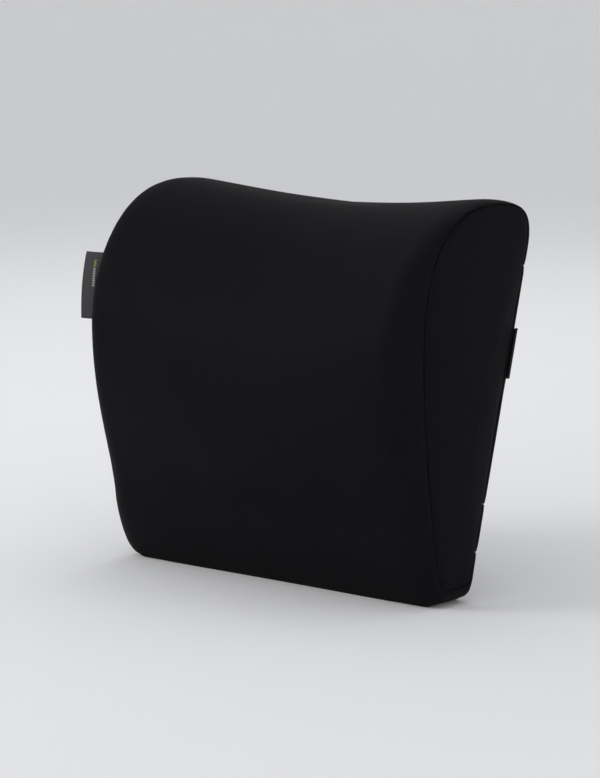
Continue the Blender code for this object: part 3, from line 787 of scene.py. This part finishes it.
# Nylon monofilament: black, smooth, with a soft gloss. One loop every 1.5 mm, the two rows half a step
# apart so that they lock.
nylon_finish, tree, shader = new_material("nylon_coil", Roughness=0.38, Specular_IOR_Level=0.45)
where = add_node(tree, "ShaderNodeTexCoord").outputs["Object"]
drawn = add_node(tree, "ShaderNodeTexNoise", {"Vector": where, "Scale": 350.0, "Detail": 2.0})
tone = add_node(tree, "ShaderNodeMixRGB", {
    "Fac": drawn.outputs[0], "Color1": from_hex("#161618"), "Color2": from_hex("#232326")})
tree.links.new(tone.outputs["Color"], shader.inputs["Base Color"])
loop_unit = unit_shape("coil_loop", bead(0.0011, 0.0030, 0.0016))
LOOP_PITCH, COIL_HALF_LENGTH, FIRST_LOOP_X, COIL_SIDE, COIL_H = 0.0015, 0.1165, -0.1163, 0.0011, -0.0014
loop_count = int(2 * COIL_HALF_LENGTH / LOOP_PITCH)
for name, side, start in (("upper", -1, 0.0), ("lower", 1, LOOP_PITCH / 2)):
    coil = repeated("zip_coil_" + name + "_loops", loop_unit, nylon_finish, "cushion",
                    [(loop_count, LOOP_PITCH, FIRST_LOOP_X + start, side * COIL_SIDE, COIL_H)], zip_frame)
    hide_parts("zip_coil_" + name)

# Lockstitch in black polyester, twice along each fold of the slit: a stitch every 2.7 mm.
STITCH_PITCH, STITCHED_LENGTH, FIRST_STITCH_X, STITCH_H = 0.0027, 0.236, -0.118, 0.0001
stitch_unit = unit_shape("stitch", bead(0.0023, 0.0005, 0.0005, 6))
stitch_count = int(STITCHED_LENGTH / STITCH_PITCH)
repeated("zip_stitches", stitch_unit, stitch_finish, "cushion",
         [(stitch_count, STITCH_PITCH, FIRST_STITCH_X, side * offset, STITCH_H)
          for side in (-1, 1) for offset in (0.0082, 0.0104)], zip_frame)

# Zinc, cast and enamelled black: smooth, a little glossy, thinner and duller where it is handled.
enamel_finish, tree, shader = new_material("enamelled_zinc", Coat_Weight=0.3, Coat_Roughness=0.2)
where = add_node(tree, "ShaderNodeTexCoord").outputs["Object"]
worn = add_node(tree, "ShaderNodeTexNoise", {"Vector": where, "Scale": 260.0, "Detail": 5.0})
tone = add_node(tree, "ShaderNodeMixRGB", {
    "Fac": worn.outputs[0], "Color1": from_hex("#1b1b1e"), "Color2": from_hex("#2a2a2e")})
rough = add_node(tree, "ShaderNodeMapRange", {0: worn.outputs[0], 3: 0.28, 4: 0.5})
tree.links.new(tone.outputs["Color"], shader.inputs["Base Color"])
tree.links.new(rough.outputs[0], shader.inputs["Roughness"])
for node in ("zip_slider", "zip_pull", "zip_stop_left", "zip_stop_right"):
    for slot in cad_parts[node].material_slots:
        slot.material = enamel_finish


# The strap ----------------------------------------------------------------------------------------------
# One elastic webbing, 38 mm wide, sewn into both end seams. On the left it runs through an adjuster and
# round the socket's bar and back to the adjuster; on the right it is turned round the plug's bar.

STRAP_S = 0.186                           # the strap's middle, up the back
STRAP_WIDTH, STRAP_THICK, CORDS, CORD_HEIGHT = 0.038, 0.0014, 20, 0.00012
STRAP_H, TAIL_H, OVER_BAR_H = 0.0012, 0.0029, 0.0044   # heights of the layers off the back
BAR_RADIUS, BUCKLE_H, CLEAR = 0.0016, 0.0048, 0.0003
SOCKET_BAR_X, PLUG_BAR_X, ADJUSTER_X = 0.0115, 0.0665, -0.060
ROUTE_STEP = 0.0012
strap_frame = back_frame @ Matrix.Translation((0, -STRAP_S, 0))


def strap_end(side):
    """The route round the cushion's edge to its end seam, as (x, height) points towards one side."""
    route = []
    for turn, lift in zip(np.radians([0, 22, 42, 60, 76]), (0.0009, 0.0007, 0.0006, 0.0005, 0.0003)):
        run = Vector((ROUND_DEPTH * sin(turn), ROUND_REACH * cos(turn))).normalized() * lift
        x = EDGE_X - ROUND_REACH * (1 - sin(turn)) + run.x
        route.append((side * x, run.y - ROUND_DEPTH * (1 - cos(turn))))
    return route


def loop_round(bar_x, side):
    """The turn round a bar, from the strap's underside to its top, on the bar's given side."""
    radius = BAR_RADIUS + CLEAR + STRAP_THICK / 2
    return [(bar_x + side * radius * cos(t), BUCKLE_H + radius * sin(t))
            for t in np.radians([-90, -60, -30, 0, 30, 60, 90])]


def smooth_route(route):
    """Even points on a Catmull-Rom curve through a route."""
    grid = np.array([[(x, 0.0, h)] for x, h in route])
    line = finer(grid, 8)[:, 0]
    travel = np.concatenate([[0], np.cumsum(np.linalg.norm(np.diff(line, axis=0), axis=1))])
    even = np.linspace(0, travel[-1], max(8, int(travel[-1] / ROUTE_STEP)))
    return np.stack([np.interp(even, travel, line[:, axis]) for axis in range(3)], axis=1)


def webbing(name, route):
    """A woven strap along a route: twenty cords across it, a little thicker at both edges."""
    line = smooth_route(route)
    ahead = np.gradient(line, axis=0)
    lift = np.stack([-ahead[:, 2], np.zeros(len(line)), ahead[:, 0]], axis=1)
    lift /= np.linalg.norm(lift, axis=1, keepdims=True)
    across = np.linspace(-1, 1, 101)
    ribs = CORD_HEIGHT * np.abs(np.sin(CORDS * pi * (across + 1) / 2))
    ribs = ribs + CORD_HEIGHT * (np.abs(across) > 0.95)
    form_points = []
    for face in (1, -1):
        thick = (STRAP_THICK / 2 - CORD_HEIGHT) + ribs
        thick = thick * np.sqrt(np.clip(1 - np.clip((np.abs(across) - 0.97) / 0.03, 0, 1) ** 2, 0.05, 1))
        sheet = line[:, None, :] + face * lift[:, None, :] * thick[None, :, None]
        sheet[..., 1] = across[None, :] * STRAP_WIDTH / 2
        form_points.append(sheet)
    loop = np.concatenate([form_points[0], form_points[1][:, ::-1]], axis=1)
    lines, rows = loop.shape[:2]
    faces = grid_faces(lines, rows, True)
    half = rows // 2
    faces += [(i, i + 1, rows - 2 - i, rows - 1 - i) for i in range(half - 1)]
    last = (lines - 1) * rows
    faces += [(last + i + 1, last + i, last + rows - 1 - i, last + rows - 2 - i) for i in range(half - 1)]
    mesh = bpy.data.meshes.new(name)
    mesh.from_pydata(loop.reshape(-1, 3).tolist(), [], faces)
    lengths = np.broadcast_to(np.linspace(0, lines * ROUTE_STEP, lines)[:, None], loop.shape[:2])
    lay_map(mesh, np.stack([loop[..., 1], lengths], axis=2).reshape(-1, 2))
    form = bmesh.new()
    form.from_mesh(mesh)
    bmesh.ops.recalc_face_normals(form, faces=form.faces)
    form.to_mesh(mesh)
    form.free()
    mesh.transform(strap_frame)
    mesh.shade_smooth()
    return mesh


# Polyester and rubber webbing: black, matt, with lengthwise cords and a short weft. Real threads are
# 0.4 mm; drawn at 1.2 mm.
strap_finish = woven("elastic_webbing", "#1a1a1c", "#0f0f11", 0.0012, 0.8, Sheen_Weight=0.06)
crossing = [(-0.0140, STRAP_H), (-0.0080, STRAP_H), (-0.0022, OVER_BAR_H), (0.0022, OVER_BAR_H),
            (0.0080, STRAP_H), (0.0140, STRAP_H)]
left_route = strap_end(-1)[::-1] + [(-0.12, STRAP_H), (-0.09, STRAP_H)]
left_route += [(ADJUSTER_X + x, h) for x, h in crossing[:3]] + [(ADJUSTER_X, OVER_BAR_H)]
middle_route = [(ADJUSTER_X, OVER_BAR_H)] + [(ADJUSTER_X + x, h) for x, h in crossing[3:]]
middle_route += [(-0.03, STRAP_H), (-0.012, STRAP_H), (0.002, 0.0019)] + loop_round(SOCKET_BAR_X, 1)
middle_route += [(0.004, 0.0066), (-0.008, 0.0038), (-0.018, TAIL_H), (-0.032, TAIL_H),
                 (ADJUSTER_X + 0.0125, TAIL_H)]
right_route = strap_end(1)[::-1] + [(0.120, STRAP_H), (0.090, STRAP_H), (0.076, 0.0019)]
right_route += loop_round(PLUG_BAR_X, -1)
right_route += [(0.074, 0.0066), (0.083, 0.0038), (0.090, TAIL_H), (0.102, TAIL_H)]
for name, route, bodies, start, end, node in (
        ("strap_to_adjuster", left_route, ("cushion", "adjuster"), -0.140, -0.076, "strap_left"),
        ("strap_to_socket", middle_route, ("adjuster", "cushion"), -0.047, -0.004, "strap_left"),
        ("strap_to_plug", right_route, ("cushion", "plug"), 0.150, 0.106, "strap_right")):
    made = new_piece(name, webbing(name, route), strap_finish, None)
    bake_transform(made)
    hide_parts(node)

# Four rows of lockstitch hold the end that is folded round the plug's bar: black thread, every 2.5 mm.
box = [(6, 0.0025, 0.0895, side * offset, 0.0037) for side in (-1, 1) for offset in (0.0158, 0.0130)]
repeated("plug_strap_stitches", stitch_unit, stitch_finish, "plug", box, strap_frame)


# The buckle and the adjuster ------------------------------------------------------------------------------
# Injection-moulded acetal: a side-release socket and plug with two spring prongs, and a three-bar
# adjuster. Their shapes are the model's own; the moulding leaves a fine spark-eroded grain.

acetal_finish, tree, shader = new_material("moulded_acetal", Specular_IOR_Level=0.42)
where = add_node(tree, "ShaderNodeTexCoord").outputs["Object"]
grain = add_node(tree, "ShaderNodeTexNoise", {"Vector": where, "Scale": 1600.0, "Detail": 2.0})
flow = add_node(tree, "ShaderNodeTexNoise", {"Vector": where, "Scale": 70.0, "Detail": 3.0})
tone = add_node(tree, "ShaderNodeMixRGB", {
    "Fac": flow.outputs[0], "Color1": from_hex("#141416"), "Color2": from_hex("#1e1e21")})
rough = add_node(tree, "ShaderNodeMapRange", {0: flow.outputs[0], 3: 0.40, 4: 0.54})
pebble = add_node(tree, "ShaderNodeBump", {
    "Height": grain.outputs[0], "Distance": 0.00008, "Strength": 0.35})
tree.links.new(tone.outputs["Color"], shader.inputs["Base Color"])
tree.links.new(rough.outputs[0], shader.inputs["Roughness"])
tree.links.new(pebble.outputs["Normal"], shader.inputs["Normal"])
for node in ("strap_adjuster", "buckle_socket", "buckle_plug", "buckle_prong_upper", "buckle_prong_lower"):
    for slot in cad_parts[node].material_slots:
        slot.material = acetal_finish


# The studio -------------------------------------------------------------------------------------------
# A pale paper floor that sweeps up all round, a soft box to the left of the front, a weaker one to the
# right, a broad pool of light on the floor behind, and an even pale surround. The camera has a long lens
# and stands a little above the cushion.

FLOOR_REACH, FLOOR_SWEEP, WALL_TOP = 3.6, 1.2, 3.2
floor_finish, tree, shader = new_material(
    "studio_paper", Base_Color=from_hex("#f4f4f4"), Roughness=1.0, Specular_IOR_Level=0.0)
form = bmesh.new()
sweep = [(0.0, 0.0), (1.5, 0.0), (FLOOR_REACH, 0.0)]
sweep += [(FLOOR_REACH + FLOOR_SWEEP * sin(t), FLOOR_SWEEP - FLOOR_SWEEP * cos(t))
          for t in np.radians([15, 30, 45, 60, 75, 90])]
sweep += [(FLOOR_REACH + FLOOR_SWEEP, WALL_TOP)]
profile = [form.verts.new((r, 0, z)) for r, z in sweep]
edges = [form.edges.new(pair) for pair in zip(profile, profile[1:])]
bmesh.ops.spin(form, geom=profile + edges, cent=(0, 0, 0), axis=(0, 0, 1), steps=64, angle=2 * pi)
bmesh.ops.remove_doubles(form, verts=form.verts, dist=0.0001)
bmesh.ops.recalc_face_normals(form, faces=form.faces)
paper = bpy.data.meshes.new("studio_floor")
form.to_mesh(paper)
form.free()
paper.shade_smooth()
paper.materials.append(floor_finish)
floor = bpy.data.objects.new("studio_floor", paper)
bpy.context.scene.collection.objects.link(floor)

surround = bpy.data.worlds.new("studio_air")
surround.use_nodes = True
surround.node_tree.nodes["Background"].inputs["Color"].default_value = from_hex("#f6f7fa")
surround.node_tree.nodes["Background"].inputs["Strength"].default_value = 0.76
bpy.context.scene.world = surround


def soft_light(name, power, size, turn, rise, away):
    """A square soft box that faces the cushion from a turn round it and a rise above it, in degrees."""
    lamp = bpy.data.lights.new(name, "AREA")
    lamp.energy, lamp.size = power, size
    holder = bpy.data.objects.new(name, lamp)
    bpy.context.scene.collection.objects.link(holder)
    turn, rise = radians(turn), radians(rise)
    run = Vector((sin(turn) * cos(rise), -cos(turn) * cos(rise), sin(rise))) * away
    holder.location = run + Vector((0, 0, 0.15))
    holder.rotation_euler = (-run).to_track_quat("-Z", "Y").to_euler()


soft_light("key_box", 8.0, 0.7, -41, 26, 1.7)
soft_light("fill_box", 3.6, 0.7, 65, 8, 1.7)

lamp = bpy.data.lights.new("floor_pool", "SPOT")
lamp.energy, lamp.spot_size, lamp.spot_blend, lamp.shadow_soft_size = 40.0, radians(72), 1.0, 0.5
pool = bpy.data.objects.new("floor_pool", lamp)
bpy.context.scene.collection.objects.link(pool)
pool.location = (-0.85, 1.00, 2.4)

CAMERA_AWAY, AIM_ASIDE, AIM_BACK, AIM_HEIGHT = 2.469, -0.0019, 0.014, 0.1452
azimuth, elevation = radians(40.8), radians(8.575)
aim = Vector((AIM_ASIDE * cos(azimuth), AIM_ASIDE * sin(azimuth) + AIM_BACK, AIM_HEIGHT))
behind = Vector((sin(azimuth) * cos(elevation), -cos(azimuth) * cos(elevation), sin(elevation)))
lens = bpy.data.cameras.new("camera")
lens.lens, lens.sensor_width, lens.clip_end = 149.6, 36.0, 60.0
camera = bpy.data.objects.new("camera", lens)
bpy.context.scene.collection.objects.link(camera)
camera.location = aim + behind * CAMERA_AWAY
camera.rotation_mode = "QUATERNION"
camera.rotation_quaternion = (-behind).to_track_quat("-Z", "Y")
bpy.context.scene.camera = camera
bpy.context.scene.view_settings.view_transform = "Standard"
